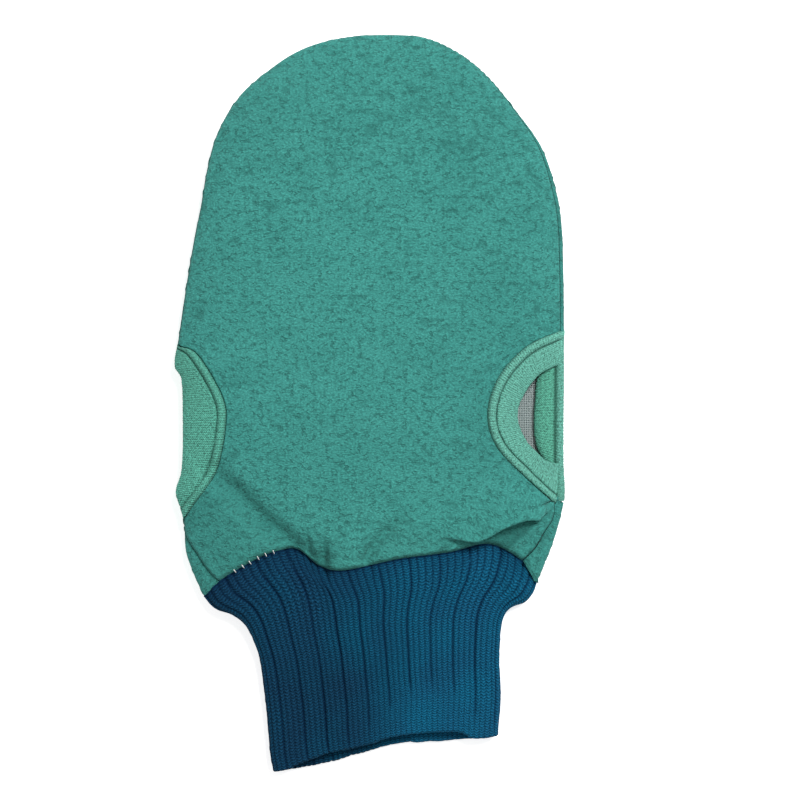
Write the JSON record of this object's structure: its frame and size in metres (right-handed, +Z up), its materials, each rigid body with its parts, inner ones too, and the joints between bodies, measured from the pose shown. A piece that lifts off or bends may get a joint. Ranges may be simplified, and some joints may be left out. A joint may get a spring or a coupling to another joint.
{
  "type": "fingerless grooming mitt",
  "caption": "Fingerless scrub mitt of crinkled crepe cloth with bound thumb holes on both sides, a mesh lining and a ribbed knit wrist cuff that folds up.",
  "frame": {"origin": "centre of the object's bounding box in plan, on the surface that the mitt lies on", "axes": "+Y towards the fingertip end, +X across the hand to the right thumb hole, +Z up out of the front panel"},
  "size_m": [0.1504, 0.285, 0.015],
  "materials": {
    "crepe_cloth": "matt crinkled viscose crepe, felt-like nap with short dark creases",
    "binding_knit": "soft matt knit tape, lighter green than the panels",
    "mesh_lining": "plain open woven mesh",
    "rib_knit": "matt rib knit, raised wales with deep grooves",
    "seam_thread": "matt spun sewing thread",
    "white_thread": "matt spun sewing thread"
  },
  "bodies": {
    "mitt": {"front_panel": "crepe_cloth", "back_panel": "crepe_cloth", "front_lining": "mesh_lining", "back_lining": "mesh_lining", "right_front_binding": "binding_knit", "right_back_binding": "binding_knit", "left_front_binding": "binding_knit", "left_back_binding": "binding_knit", "right_front_topstitch": "seam_thread", "right_back_topstitch": "seam_thread", "left_front_topstitch": "seam_thread", "left_back_topstitch": "seam_thread", "side_seam_thread": "seam_thread", "right_lower_seam_thread": "seam_thread", "left_lower_seam_thread": "seam_thread", "cuff_join_thread": "white_thread"},
    "cuff": {"rib_cuff": "rib_knit", "cuff_overlock_thread": "white_thread"}
  },
  "joints": [
    {"name": "cuff_bend", "type": "hinge", "parent": "mitt", "child": "cuff", "pos_m": [0, -0.064, 0.006], "axis": [-1, 0, 0], "range_deg": [0, 90]}
  ]
}
